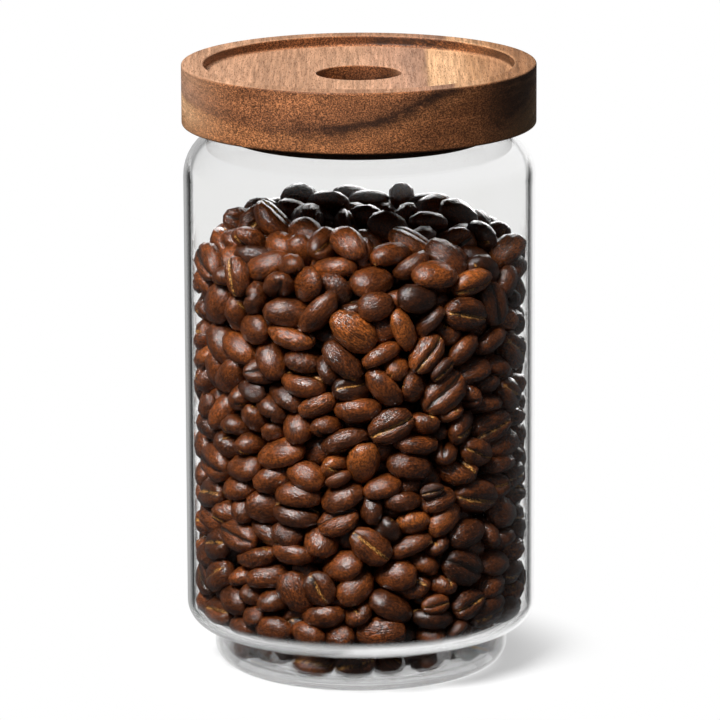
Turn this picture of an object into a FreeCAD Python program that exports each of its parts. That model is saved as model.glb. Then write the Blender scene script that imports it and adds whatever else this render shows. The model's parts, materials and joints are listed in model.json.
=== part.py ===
"""A stacking food canister: blown glass jar, turned wooden lid, silicone seal and a fill of coffee beans.

Millimetres, +Z up. The origin is the centre of the circle that the jar stands on.
Every piece is turned about Z, so each one is a half section in the XZ plane, revolved.
"""
import FreeCAD, Part
import os

import Sketcher

doc = FreeCAD.newDocument("food_canister")

# Driving dimensions
SIZES = {
    # Glass jar
    "jar_diameter": 100.0,
    "jar_height": 156.85,
    "glass_wall": 2.0,
    "base_thickness": 3.0,
    "foot_diameter": 84.0,
    "foot_height": 11.5,
    "foot_round": 5.5,
    "step_round": 1.2,
    "heel_round": 6.5,
    "standing_ring": 4.5,
    "push_up_rise": 0.9,
    "shoulder_round": 13.5,
    "rim_rise": 1.35,
    "rim_round": 0.7,
    "mouth_diameter": 74.6,
    # Wooden lid
    "lid_overhang": 0.3,
    "lid_thickness": 17.3,
    "lid_edge_round": 0.6,
    "stack_clearance": 2.0,
    "recess_depth": 3.1,
    "recess_round": 1.2,
    "finger_hole_diameter": 24.0,
    "finger_hole_depth": 11.0,
    "finger_hole_round": 0.5,
    "plug_clearance": 0.8,
    "plug_depth": 4.25,
    "plug_round": 0.6,
    # Seal ring in its groove
    "groove_land": 0.75,
    "groove_height": 2.3,
    "groove_depth": 2.0,
    "seal_clearance": 0.1,
    "seal_seat_clearance": 0.05,
    "seal_rib_round": 0.45,
    "seal_web_depth": 0.3,
    # Coffee beans
    "fill_clearance": 0.3,
    "fill_height": 121.0,
    "fill_crown": 8.0,
}

sheet = doc.addObject("Spreadsheet::Sheet", "sizes")
for row, (alias, value) in enumerate(SIZES.items(), start=1):
    sheet.set(f"A{row}", alias)
    sheet.set(f"B{row}", str(value))
    sheet.setAlias(f"B{row}", alias)
doc.recompute()


def size(alias):
    """The expression that reads one driving dimension from the sheet."""
    return f"sizes.{alias}"


def number(expression):
    """The value of an expression, in millimetres."""
    value = sheet.evalExpression(expression)
    return float(getattr(value, "Value", value))


# Places that several pieces share, as expressions on the sheet
jar_radius = f"({size('jar_diameter')} / 2)"
jar_inside = f"({jar_radius} - {size('glass_wall')})"
foot_radius = f"({size('foot_diameter')} / 2)"
foot_inside = f"({foot_radius} - {size('glass_wall')})"
mouth_radius = f"({size('mouth_diameter')} / 2)"
heel_centre_r = f"({jar_radius} - {size('heel_round')})"
heel_top = f"({size('foot_height')} + {size('heel_round')})"
step_centre_r = f"({foot_radius} + {size('step_round')})"
step_bottom = f"({size('foot_height')} - {size('step_round')})"
foot_inner_round = f"({size('foot_round')} - {size('glass_wall')})"
foot_corner_r = f"({foot_inside} - {foot_inner_round})"
foot_corner_z = f"({size('base_thickness')} + {foot_inner_round})"
lid_underside = size("jar_height")
lid_top = f"({lid_underside} + {size('lid_thickness')})"
plug_radius = f"({mouth_radius} - {size('plug_clearance')})"
plug_bottom = f"({lid_underside} - {size('plug_depth')})"
groove_radius = f"({plug_radius} - {size('groove_depth')})"
groove_top = f"({lid_underside} - {size('groove_land')})"
groove_bottom = f"({groove_top} - {size('groove_height')})"

# The step under the heel is two rounds and the straight line that touches both of them.
# It leans by this angle from the upright: 90 degrees, a level ledge, where the foot leaves room for that.
step_rounds = f"({size('heel_round')} + {size('step_round')})"
step_shift = f"({heel_centre_r} - {step_centre_r})"
step_lean = f"(asin({step_rounds} / hypot({step_shift}; {step_rounds})) + atan2({step_shift}; {step_rounds}))"

# Turns of an arc along a section, seen with +X to the right and +Z up
LEFT = 1
RIGHT = -1


def end_of_step(radius):
    """The corner where a round of the given radius, in the nook above the foot, runs into the ledge."""
    return f"{step_centre_r} - {radius} * cos({step_lean})", f"{step_bottom} + {radius} * sin({step_lean})"


def start_of_heel(radius):
    """The corner where the ledge runs into a heel round of the given radius."""
    return f"{heel_centre_r} + {radius} * cos({step_lean})", f"{heel_top} - {radius} * sin({step_lean})"


def new_body(label):
    """An empty body for one piece, named for the file that it becomes."""
    body = doc.addObject("PartDesign::Body", label)
    body.Label = label
    return body


def arc_between(start, end, radius, turn):
    """The arc of under half a circle from start to end that turns left or right."""
    chord = end - start
    middle = (start + end) / 2
    across = FreeCAD.Vector(-chord.y, chord.x, 0).normalize()
    height = max(radius**2 - (chord.Length / 2) ** 2, 0.0) ** 0.5
    centre = middle + across * height * turn
    circle = Part.Circle(centre, FreeCAD.Vector(0, 0, 1), radius)
    first, last = (start, end) if turn == LEFT else (end, start)
    return Part.ArcOfCircle(circle, circle.parameter(first), circle.parameter(last))


def section(body, name, corners):
    """A closed half section on the body's XZ plane, every corner bound to the sheet.

    A corner is (r, z) where a straight edge arrives, or (r, z, radius, turn) where an arc does.
    """
    sketch = body.newObject("Sketcher::SketchObject", name)
    plane = next(f for f in body.Origin.OriginFeatures if f.Role == "XZ_Plane")
    sketch.AttachmentSupport = [(plane, "")]
    sketch.MapMode = "FlatFace"
    points = [FreeCAD.Vector(number(c[0]), number(c[1]), 0) for c in corners]
    ends = []
    for i, corner in enumerate(corners):
        start, end = points[i - 1], points[i]
        if len(corner) == 2:
            edge = sketch.addGeometry(Part.LineSegment(start, end), False)
            ends.append((edge, 1, 2))
            continue
        radius, turn = corner[2:]
        edge = sketch.addGeometry(arc_between(start, end, number(radius), turn), False)
        ends.append((edge, 1, 2) if turn == LEFT else (edge, 2, 1))
    for i, (edge, first, last) in enumerate(ends):
        before, _, before_last = ends[i - 1]
        sketch.addConstraint(Sketcher.Constraint("Coincident", before, before_last, edge, first))
    for i, (corner, (edge, first, last)) in enumerate(zip(corners, ends)):
        bind_place(sketch, f"r{i}", "DistanceX", edge, last, corner[0])
        bind_place(sketch, f"z{i}", "DistanceY", edge, last, corner[1])
        if len(corner) > 2:
            bound = sketch.addConstraint(Sketcher.Constraint("Radius", edge, number(corner[2])))
            bind(sketch, bound, f"arc{i}", corner[2])
    return sketch


def bind(sketch, constraint, name, expression):
    """Names a constraint and ties it to the sheet."""
    sketch.renameConstraint(constraint, name)
    sketch.setExpression(f"Constraints.{name}", expression)


def bind_place(sketch, name, kind, edge, point, expression):
    """Ties one coordinate of a corner to the sheet, or puts the corner on an axis where it is zero."""
    if expression == "0":
        axis = -2 if kind == "DistanceX" else -1
        sketch.addConstraint(Sketcher.Constraint("PointOnObject", edge, point, axis))
        return
    value = number(expression)
    bound = sketch.addConstraint(Sketcher.Constraint(kind, -1, 1, edge, point, value))
    bind(sketch, bound, name, expression)


def revolve(body, kind, name, corners):
    """Turns a section into a solid (Revolution) or cuts it out of the body (Groove)."""
    before = body.Shape.Volume if body.Tip else 0.0
    sketch = section(body, f"{name}_section", corners)
    doc.recompute()
    feature = body.newObject(f"PartDesign::{kind}", name)
    feature.Profile = (sketch, [""])
    feature.ReferenceAxis = (sketch, ["V_Axis"])
    feature.Angle = 360
    doc.recompute()
    change = body.Shape.Volume - before
    grows = kind == "Revolution"
    if (change > 0) != grows or abs(change) < 1.0:
        raise RuntimeError(f"{name} changes the volume of {body.Label} by {change:.2f} mm3")


def round_edges(body, name, radius, circles):
    """Rounds the edges that run round Z at the given radii and heights."""
    places = [(number(r), number(z)) for r, z in circles]
    names = []
    for index, edge in enumerate(body.Shape.Edges, start=1):
        curve = edge.Curve
        if not isinstance(curve, Part.Circle):
            continue
        if any(abs(curve.Radius - r) < 1e-4 and abs(curve.Center.z - z) < 1e-4 for r, z in places):
            names.append(f"Edge{index}")
    if len(names) != len(places):
        raise RuntimeError(f"{name} finds {len(names)} of {len(places)} edges")
    base = body.Tip
    feature = body.newObject("PartDesign::Fillet", name)
    feature.Base = (base, names)
    feature.setExpression("Radius", radius)
    doc.recompute()


def glass_jar():
    """Blown jar: a stepped foot that nests in a lid, straight wall, round shoulder and a rimmed mouth."""
    neck_radius = f"({mouth_radius} + {size('glass_wall')})"
    shoulder_centre_r = f"({jar_radius} - {size('shoulder_round')})"
    shoulder_start = f"({size('jar_height')} - {size('rim_rise')} - {size('shoulder_round')})"
    inner_shoulder = f"({size('shoulder_round')} - {size('glass_wall')})"
    neck_foot = (
        f"({shoulder_start} + sqrt({size('shoulder_round')}^2 - ({neck_radius} - {shoulder_centre_r})^2))"
    )
    mouth_foot = f"({shoulder_start} + sqrt({inner_shoulder}^2 - ({mouth_radius} - {shoulder_centre_r})^2))"
    rim_side = f"({size('jar_height')} - {size('rim_round')})"
    ring_outside = f"({foot_radius} - {size('foot_round')})"
    push_up_r = f"({ring_outside} - {size('standing_ring')})"
    push_up_arc = f"({push_up_r}^2 + {size('push_up_rise')}^2) / (2 * {size('push_up_rise')})"
    inner_heel = f"({size('heel_round')} - {size('glass_wall')})"
    inner_step = f"({size('step_round')} + {size('glass_wall')})"
    body = new_body("glass_jar")
    revolve(body, "Revolution", "blown_wall", [
        ("0", size("push_up_rise")),
        (push_up_r, "0", push_up_arc, RIGHT),
        (ring_outside, "0"),
        (foot_radius, size("foot_round"), size("foot_round"), LEFT),
        (foot_radius, step_bottom),
        (*end_of_step(size("step_round")), size("step_round"), RIGHT),
        start_of_heel(size("heel_round")),
        (jar_radius, heel_top, size("heel_round"), LEFT),
        (jar_radius, shoulder_start),
        (neck_radius, neck_foot, size("shoulder_round"), LEFT),
        (neck_radius, rim_side),
        (f"{neck_radius} - {size('rim_round')}", size("jar_height"), size("rim_round"), LEFT),
        (f"{mouth_radius} + {size('rim_round')}", size("jar_height")),
        (mouth_radius, rim_side, size("rim_round"), LEFT),
        (mouth_radius, mouth_foot),
        (jar_inside, shoulder_start, inner_shoulder, RIGHT),
        (jar_inside, heel_top),
        (*start_of_heel(inner_heel), inner_heel, RIGHT),
        end_of_step(inner_step),
        (foot_inside, step_bottom, inner_step, LEFT),
        (foot_inside, foot_corner_z),
        (foot_corner_r, size("base_thickness"), foot_inner_round, RIGHT),
        ("0", size("base_thickness")),
    ])
    return body


def wood_lid():
    """Turned lid: a disc with a sunk top that takes the next canister's foot, a finger hole and a plug."""
    lid_radius = f"({jar_radius} + {size('lid_overhang')})"
    recess_radius = f"({foot_radius} + {size('stack_clearance')})"
    recess_floor = f"({lid_top} - {size('recess_depth')})"
    hole_radius = f"({size('finger_hole_diameter')} / 2)"
    above_lid = f"({lid_top} + {size('recess_depth')})"
    plug_lip = f"({groove_bottom} - {plug_bottom})"
    body = new_body("wood_lid")
    revolve(body, "Revolution", "disc_and_plug", [
        ("0", plug_bottom),
        (plug_radius, plug_bottom),
        (plug_radius, lid_underside),
        (lid_radius, lid_underside),
        (lid_radius, lid_top),
        ("0", lid_top),
    ])
    revolve(body, "Groove", "stacking_recess", [
        ("0", recess_floor),
        (recess_radius, recess_floor),
        (recess_radius, above_lid),
        ("0", above_lid),
    ])
    revolve(body, "Groove", "finger_hole", [
        ("0", f"{recess_floor} - {size('finger_hole_depth')}"),
        (hole_radius, f"{recess_floor} - {size('finger_hole_depth')}"),
        (hole_radius, above_lid),
        ("0", above_lid),
    ])
    revolve(body, "Groove", "seal_groove", [
        (groove_radius, groove_bottom),
        (f"{plug_radius} + {size('groove_depth')}", groove_bottom),
        (f"{plug_radius} + {size('groove_depth')}", groove_top),
        (groove_radius, groove_top),
    ])
    round_edges(body, "lid_edges", size("lid_edge_round"), [
        (lid_radius, lid_underside),
        (lid_radius, lid_top),
        (recess_radius, lid_top),
    ])
    round_edges(body, "recess_corner", size("recess_round"), [(recess_radius, recess_floor)])
    round_edges(body, "finger_hole_edge", size("finger_hole_round"), [(hole_radius, recess_floor)])
    round_edges(body, "plug_edge", f"min({size('plug_round')}; {plug_lip} / 2)", [(plug_radius, plug_bottom)])
    return body


def seal_ring():
    """Silicone ring seated in the plug's groove, with two rounded ribs that wipe the mouth of the jar."""
    seat = size("seal_seat_clearance")
    rib = size("seal_rib_round")
    inside = f"({groove_radius} + {seat})"
    low = f"({groove_bottom} + {seat})"
    high = f"({groove_top} - {seat})"
    tip = f"({mouth_radius} - {size('seal_clearance')})"
    rib_root = f"({tip} - {rib})"
    web = f"({plug_radius} - {size('seal_web_depth')})"
    body = new_body("seal_ring")
    revolve(body, "Revolution", "ribbed_ring", [
        (inside, low),
        (rib_root, low),
        (tip, f"{low} + {rib}", rib, LEFT),
        (rib_root, f"{low} + 2 * {rib}", rib, LEFT),
        (web, f"{low} + 2 * {rib}"),
        (web, f"{high} - 2 * {rib}"),
        (rib_root, f"{high} - 2 * {rib}"),
        (tip, f"{high} - {rib}", rib, LEFT),
        (rib_root, high, rib, LEFT),
        (inside, high),
    ])
    return body


def coffee_beans():
    """The space that the beans take up: the inside of the jar less a small clearance, heaped in the middle."""
    gap = size("fill_clearance")
    side = f"({jar_inside} - {gap})"
    foot_side = f"({foot_inside} - {gap})"
    crown = size("fill_crown")
    crown_arc = f"({side}^2 + {crown}^2) / (2 * {crown})"
    heel_arc = f"({size('heel_round')} - {size('glass_wall')} - {gap})"
    step_arc = f"({size('step_round')} + {size('glass_wall')} + {gap})"
    body = new_body("coffee_beans")
    revolve(body, "Revolution", "heaped_fill", [
        ("0", f"{size('base_thickness')} + {gap}"),
        (foot_corner_r, f"{size('base_thickness')} + {gap}"),
        (foot_side, foot_corner_z, f"{foot_inner_round} - {gap}", LEFT),
        (foot_side, step_bottom),
        (*end_of_step(step_arc), step_arc, RIGHT),
        start_of_heel(heel_arc),
        (side, heel_top, heel_arc, LEFT),
        (side, size("fill_height")),
        ("0", f"{size('fill_height')} + {crown}", crown_arc, LEFT),
    ])
    return body


pieces = [glass_jar(), wood_lid(), seal_ring(), coffee_beans()]
doc.recompute()

for item in doc.Objects:
    if "Invalid" in item.State or "Error" in item.State:
        raise RuntimeError(f"{item.Label} did not build: {item.State}")
for piece in pieces:
    if piece.Shape.isNull() or not piece.Shape.isValid() or len(piece.Shape.Solids) != 1:
        raise RuntimeError(f"{piece.Label} is not one valid solid")

os.makedirs("parts", exist_ok=True)
for piece in pieces:
    piece.Shape.exportStep(f"parts/{piece.Label}.step")
    print(f"{piece.Label}: {piece.Shape.Volume / 1000:.2f} cm3")
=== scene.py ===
# %% [markdown]
# # A glass canister of coffee beans
# The object is a storage jar for a kitchen: a clear glass body, a turned wooden lid with a soft
# seal, and roasted coffee beans inside. The CAD model already fixes every size and the motion of
# the lid. This lesson loads that model as a frame and dresses each piece, from the outside in.

# %% Load the frame
import json
import math

import bmesh
import bpy
import numpy as np
from mathutils import Euler, Matrix, Vector

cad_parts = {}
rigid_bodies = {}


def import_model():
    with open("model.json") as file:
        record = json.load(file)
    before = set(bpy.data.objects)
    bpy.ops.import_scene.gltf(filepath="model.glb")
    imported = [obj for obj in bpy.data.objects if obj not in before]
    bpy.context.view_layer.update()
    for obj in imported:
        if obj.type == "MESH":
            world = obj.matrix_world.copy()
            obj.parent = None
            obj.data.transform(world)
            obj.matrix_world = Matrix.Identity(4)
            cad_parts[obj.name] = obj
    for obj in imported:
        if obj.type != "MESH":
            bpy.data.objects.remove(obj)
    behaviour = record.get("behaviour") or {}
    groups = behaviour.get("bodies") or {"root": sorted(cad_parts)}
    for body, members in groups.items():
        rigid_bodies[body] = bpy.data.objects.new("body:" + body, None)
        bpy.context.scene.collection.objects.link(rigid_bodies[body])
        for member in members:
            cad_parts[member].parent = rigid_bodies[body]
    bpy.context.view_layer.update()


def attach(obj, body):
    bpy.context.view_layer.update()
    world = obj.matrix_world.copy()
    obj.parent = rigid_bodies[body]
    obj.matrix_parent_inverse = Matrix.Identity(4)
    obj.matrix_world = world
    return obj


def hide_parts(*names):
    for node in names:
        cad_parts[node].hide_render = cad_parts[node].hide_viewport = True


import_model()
MM = 0.001

# %% [markdown]
# ## Camera
# The photograph was taken with a long lens from a little above. The ellipses of the lid and the
# foot give the distance and the height: a long way off, looking down by about 13 degrees. The
# camera also hangs a quarter of a degree out of true, so the jar leans very slightly to the left.

# %% Camera
SENSOR_MM = 36.0
LENS_MM = 292.19
CAMERA_PLACE = Vector((0.0, -1630.5, 456.4)) * MM
LOOK_DOWN = 0.2224
LEAN = math.radians(0.24)
FARTHEST = 50.0

camera_data = bpy.data.cameras.new("camera")
camera_data.sensor_width = SENSOR_MM
camera_data.lens = LENS_MM
camera_data.clip_end = FARTHEST
camera = bpy.data.objects.new("camera", camera_data)
camera.location = CAMERA_PLACE
tilt = Euler((math.pi / 2 - LOOK_DOWN, 0.0, 0.0)).to_matrix()
camera.rotation_euler = (tilt @ Matrix.Rotation(-LEAN, 3, "Z")).to_euler()
bpy.context.scene.collection.objects.link(camera)
bpy.context.scene.camera = camera
print("camera", [round(value, 3) for value in camera.location])

# %% [markdown]
# ## Small helpers for node trees
# Finishes and Geometry Nodes are both trees of nodes. They could be drawn by hand in the editor,
# but a script can be read and run again. A few helpers keep it short. The first one adds a node
# and fills its inputs, with a wire where the value is a socket. The others build on it.

# %% Helpers that calculate
def add(tree, kind, inputs=None, **settings):
    """Adds a node; inputs maps names or numbers of sockets to values or to other sockets."""
    node = tree.nodes.new(kind)
    for name, value in settings.items():
        setattr(node, name, value)
    for name, value in (inputs or {}).items():
        if isinstance(value, bpy.types.NodeSocket):
            tree.links.new(value, node.inputs[name])
        else:
            node.inputs[name].default_value = value
    return node


def sum_of(tree, operation, first, second=0.0, third=0.0):
    """The result of a Math node."""
    values = {0: first, 1: second, 2: third}
    return add(tree, "ShaderNodeMath", values, operation=operation).outputs[0]


def product(tree, first, *others):
    """Several values multiplied together."""
    for value in others:
        first = sum_of(tree, "MULTIPLY", first, value)
    return first


def smooth_step(tree, value, low, high):
    """0 below low, 1 above high and a smooth rise between; it falls where low is the larger."""
    inputs = {"Value": value, "From Min": low, "From Max": high}
    return add(tree, "ShaderNodeMapRange", inputs, interpolation_type="SMOOTHSTEP").outputs[0]


def parts_of(tree, vector):
    """The X, Y and Z of a vector."""
    return add(tree, "ShaderNodeSeparateXYZ", {0: vector}).outputs


# %% Helpers for colours and finishes
def blend(tree, share, first, second, how="MIX"):
    """Two colours mixed by a share."""
    inputs = {0: share, 6: first, 7: second}
    return add(tree, "ShaderNodeMix", inputs, data_type="RGBA", blend_type=how).outputs[2]


def ramp(tree, share, stops):
    """A Color Ramp with stops of (place, colour)."""
    node = add(tree, "ShaderNodeValToRGB", {"Fac": share})
    elements = node.color_ramp.elements
    while len(elements) < len(stops):
        elements.new(0.5)
    for element, (place, colour) in zip(elements, stops):
        element.position = place
        element.color = (*colour, 1.0)
    return node.outputs["Color"]


def grey_ramp(tree, share, *stops):
    """A ramp of greys with stops of (place, value)."""
    return ramp(tree, share, [(place, (value,) * 3) for place, value in stops])


def mottled(tree, colour, pattern, dark, light, share=1.0):
    """A colour that a pattern darkens and lightens; dark and light are (place, factor)."""
    return blend(tree, share, colour, grey_ramp(tree, pattern, dark, light), "MULTIPLY")


def mixed(tree, share, first, second):
    """Two shaders mixed by a share."""
    return add(tree, "ShaderNodeMixShader", {0: share, 1: first, 2: second}).outputs[0]


def new_finish(name):
    """An empty material and its node tree."""
    finish = bpy.data.materials.new(name)
    finish.use_nodes = True
    finish.node_tree.nodes.clear()
    return finish, finish.node_tree


def principled(tree, inputs):
    """Ends a finish with a Principled shader."""
    shader = add(tree, "ShaderNodeBsdfPrincipled", inputs)
    add(tree, "ShaderNodeOutputMaterial", {"Surface": shader.outputs[0]})


# %% Helpers for places and patterns
FLAT = (1.0, 1.0, 0.0)


def place_in_mm(tree, scale=(1.0, 1.0, 1.0)):
    """Object coordinates in millimetres, stretched by a scale."""
    place = add(tree, "ShaderNodeTexCoord").outputs["Object"]
    stretch = tuple(value / MM for value in scale)
    return add(tree, "ShaderNodeMapping", {"Vector": place, "Scale": stretch}).outputs[0]


def length_of(tree, vector):
    """The length of a vector."""
    return add(tree, "ShaderNodeVectorMath", {0: vector}, operation="LENGTH").outputs["Value"]


def noise(tree, place, detail=2.0, rough=0.5, scale=1.0):
    """A soft noise from 0 to 1 on a place that already has its scale."""
    inputs = {"Vector": place, "Scale": scale, "Detail": detail, "Roughness": rough}
    return add(tree, "ShaderNodeTexNoise", inputs).outputs[0]


def relief_of(tree, height, strength, depth):
    """The normal of a surface with small bumps of a depth in mm."""
    inputs = {"Height": height, "Strength": strength, "Distance": depth * MM}
    return add(tree, "ShaderNodeBump", inputs).outputs[0]


# %% [markdown]
# ## Studio
# The photograph has a white ground with one soft shadow. White comes from the floor and the world
# as the camera and the glass see them, at a strength of 1. The light that reaches the object is
# weaker than that, so the colours of the wood and the beans come out as they are written. The
# studio is darker on the left, and clear glass shows that as a grey edge, so rays that a mirror
# sends to the left meet a greyer backdrop.

# %% World
WHITE = (1.0, 1.0, 1.0, 1.0)
AMBIENT = 0.070
AMBIENT_COLOUR = (0.98, 0.99, 1.0, 1.0)
LEFT_SHADE = 0.53
LEFT_SIDE = (-0.02, -0.15)


def seen_directly(tree):
    """1 for rays from the camera, through glass or off a sharp mirror, and 0 for soft light."""
    path = add(tree, "ShaderNodeLightPath").outputs
    sharp = product(tree, path["Is Glossy Ray"], path["Is Singular Ray"])
    direct = sum_of(tree, "MAXIMUM", path["Is Camera Ray"], path["Is Transmission Ray"])
    return sum_of(tree, "MAXIMUM", direct, sharp)


scene = bpy.context.scene
scene.view_settings.view_transform = "Standard"
world = bpy.data.worlds.new("studio")
scene.world = world
world.use_nodes = True
studio = world.node_tree
studio.nodes.clear()
towards = parts_of(studio, add(studio, "ShaderNodeTexCoord").outputs["Generated"])
mirrored = add(studio, "ShaderNodeLightPath").outputs["Is Glossy Ray"]
left = product(studio, smooth_step(studio, towards["X"], *LEFT_SIDE), mirrored)
backdrop = sum_of(studio, "MULTIPLY_ADD", left, -LEFT_SHADE, 1.0)
soft = add(studio, "ShaderNodeBackground", {"Color": AMBIENT_COLOUR, "Strength": AMBIENT})
white = add(studio, "ShaderNodeBackground", {"Color": WHITE, "Strength": backdrop})
either = mixed(studio, seen_directly(studio), soft.outputs[0], white.outputs[0])
add(studio, "ShaderNodeOutputWorld", {"Surface": either})
print("light from all round", AMBIENT, "backdrop on the left", round(1.0 - LEFT_SHADE, 2))

# %% [markdown]
# ## Lamps
# The key lamp is large and soft, high on the left in front, and gives the shadow and the shine. A
# second lamp behind the jar draws a pale rim on the hindmost beans, as a back light does for
# glassware. On the lid its shine would veil the wood, so the lid has a like lamp of its own that
# gives no shine. Which pieces each lamp leaves out is set at the end, when all of them are made.

# %% Lamps
AIM = Vector((0.0, 0.0, 0.09))
KEY_FROM = Vector((-0.41, -0.63, 0.92)).normalized()
KEY_SIZE = 0.5
KEY_WATTS = 26.5
BACK_FROM = Vector((0.10, 0.95, 0.22)).normalized()
LID_FROM = Vector((0.10, 0.95, -0.03)).normalized()
BACK_SIZE = 1.0
BACK_WATTS = 12.0
LAMP_DISTANCE = 1.3


def soft_lamp(name, direction, size, watts):
    """A round soft lamp that shines at the object from a direction."""
    lamp = bpy.data.lights.new(name, "AREA")
    lamp.shape = "DISK"
    lamp.size = size
    lamp.energy = watts
    holder = bpy.data.objects.new(name, lamp)
    holder.location = AIM + direction * LAMP_DISTANCE
    holder.rotation_euler = direction.to_track_quat("Z", "Y").to_euler()
    scene.collection.objects.link(holder)
    return holder


key = soft_lamp("key_lamp", KEY_FROM, KEY_SIZE, KEY_WATTS)
back = soft_lamp("back_lamp", BACK_FROM, BACK_SIZE, BACK_WATTS)
lid_fill = soft_lamp("lid_fill", LID_FROM, BACK_SIZE, BACK_WATTS)
back.visible_transmission = False
lid_fill.visible_transmission = False
lid_fill.visible_glossy = False
lamps = (key, back, lid_fill)
print("lamps at", [[round(value, 2) for value in holder.location] for holder in lamps])

# %% [markdown]
# ## Floor
# The floor keeps the shadow. Near the jar it is a plain pale sheet that takes the light, with a
# little glow of its own; farther off it turns into pure white, so no horizon shows. Right under
# the jar a painted pool of light makes it lighter again, standing in for the light that the thick
# glass of the foot gathers there.

# %% Floor
FLOOR_SIDE = 12.0
FLOOR_DROP = 0.05 * MM
FLOOR_GLOW = 0.50
SHADOW_EDGE = (42.0, 74.0)
UNDER_JAR_PAINTED_LIGHT = 0.6
UNDER_JAR_LIGHT_EDGE = (42.0, 34.0)

floor_finish, tree = new_finish("white_table")
seen = seen_directly(tree)
away = length_of(tree, place_in_mm(tree))
# Painted light: the floor right under the jar glows, as a pool of light under the glass foot.
painted_light_under_jar = product(tree, smooth_step(tree, away, *UNDER_JAR_LIGHT_EDGE), UNDER_JAR_PAINTED_LIGHT)
white_floor_and_painted_light = sum_of(tree, "MAXIMUM", smooth_step(tree, away, *SHADOW_EDGE), painted_light_under_jar)
white_floor_and_painted_light = product(tree, white_floor_and_painted_light, seen)
paper = noise(tree, place_in_mm(tree, (0.02, 0.02, 0.02)), detail=3.0)
table = add(tree, "ShaderNodeBsdfPrincipled", {
    "Base Color": blend(tree, paper, (0.47, 0.47, 0.47, 1.0), (0.49, 0.49, 0.49, 1.0)),
    "Roughness": 0.9,
    "Specular IOR Level": 0.0,
    "Emission Color": WHITE,
    "Emission Strength": product(tree, seen, FLOOR_GLOW),
})
bright = add(tree, "ShaderNodeEmission", {"Color": WHITE, "Strength": 1.0})
ground = mixed(tree, white_floor_and_painted_light, table.outputs[0], bright.outputs[0])
add(tree, "ShaderNodeOutputMaterial", {"Surface": ground})

floor_mesh = bpy.data.meshes.new("floor")
half = FLOOR_SIDE / 2
corners = [(-half, -half), (half, -half), (half, half), (-half, half)]
floor_mesh.from_pydata([(x, y, -FLOOR_DROP) for x, y in corners], [], [(0, 1, 2, 3)])
floor_mesh.materials.append(floor_finish)
floor = bpy.data.objects.new("floor", floor_mesh)
scene.collection.objects.link(floor)
floor.visible_diffuse = False
floor.visible_glossy = False
print("floor", FLOOR_SIDE, "m wide")

# %% [markdown]
# ## The lathe
# The jar, the lid and the seal are all round, so each is one outline turned about the axis. A
# Screw or Spin modifier could do it. Here a Geometry Nodes tree does: Curve to Mesh sweeps the
# outline round a guide circle, the doubled points on the axis are merged, and the faces are set
# smooth. An outline is a list of corners, each with the radius that rounds it off, as a turner
# or a glass blower would give it. Points close to each end of a round keep the flats flat.

# %% Outlines with rounded corners
ARC_STEP = math.radians(9.0)
FLAT_EDGE = 0.4


def arc(centre, radius, start, end):
    """Points on an arc, from one angle in degrees to another."""
    start, end = math.radians(start), math.radians(end)
    steps = max(2, math.ceil(abs(end - start) / ARC_STEP))
    angles = np.linspace(start, end, steps + 1)
    return [(centre[0] + radius * math.cos(a), centre[1] + radius * math.sin(a)) for a in angles]


def rounded(corners):
    """The open outline through corners of (radius, height, round), with each round as an arc."""
    outline = []
    last_corner = len(corners) - 1
    for index, (x, z, radius) in enumerate(corners):
        here = Vector((x, z))
        if radius <= 0 or index in (0, last_corner):
            outline.append(tuple(here))
            continue
        before = Vector(corners[index - 1][:2]) - here
        ahead = Vector(corners[index + 1][:2]) - here
        turn = before.angle(ahead)
        reach = radius / math.tan(turn / 2)
        first = here + before.normalized() * reach
        last = here + ahead.normalized() * reach
        inwards = (before.normalized() + ahead.normalized()).normalized()
        middle = here + inwards * radius / math.sin(turn / 2)
        start, end = first - middle, last - middle
        swing = start.angle(end)
        steps = max(2, math.ceil(swing / ARC_STEP))
        if before.length > reach + 2 * FLAT_EDGE:
            outline.append(tuple(first + before.normalized() * FLAT_EDGE))
        for k in range(steps + 1):
            share = k / steps
            spoke = start * math.sin((1 - share) * swing) + end * math.sin(share * swing)
            outline.append(tuple(middle + spoke / math.sin(swing)))
        if ahead.length > reach + 2 * FLAT_EDGE:
            outline.append(tuple(last + ahead.normalized() * FLAT_EDGE))
    return outline


# %% The lathe as a tree of nodes
STEPS_ROUND = 192
GUIDE_RADIUS = 0.05
WELD = 2e-6


def new_tree(name, takes, inputs, gives):
    """An empty Geometry Nodes tree with its named inputs and its output."""
    tree = bpy.data.node_groups.new(name, "GeometryNodeTree")
    tree.interface.new_socket(takes, in_out="INPUT", socket_type="NodeSocketGeometry")
    for label, kind in inputs:
        tree.interface.new_socket(label, in_out="INPUT", socket_type="NodeSocket" + kind)
    tree.interface.new_socket(gives, in_out="OUTPUT", socket_type="NodeSocketGeometry")
    return tree, add(tree, "NodeGroupInput").outputs


def end_tree(tree, geometry, finish):
    """Ends a tree with real mesh in its finish."""
    real = add(tree, "GeometryNodeRealizeInstances", {"Geometry": geometry})
    coat = {"Geometry": real.outputs[0], "Material": finish}
    coated = add(tree, "GeometryNodeSetMaterial", coat)
    add(tree, "NodeGroupOutput", {0: coated.outputs[0]})


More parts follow.
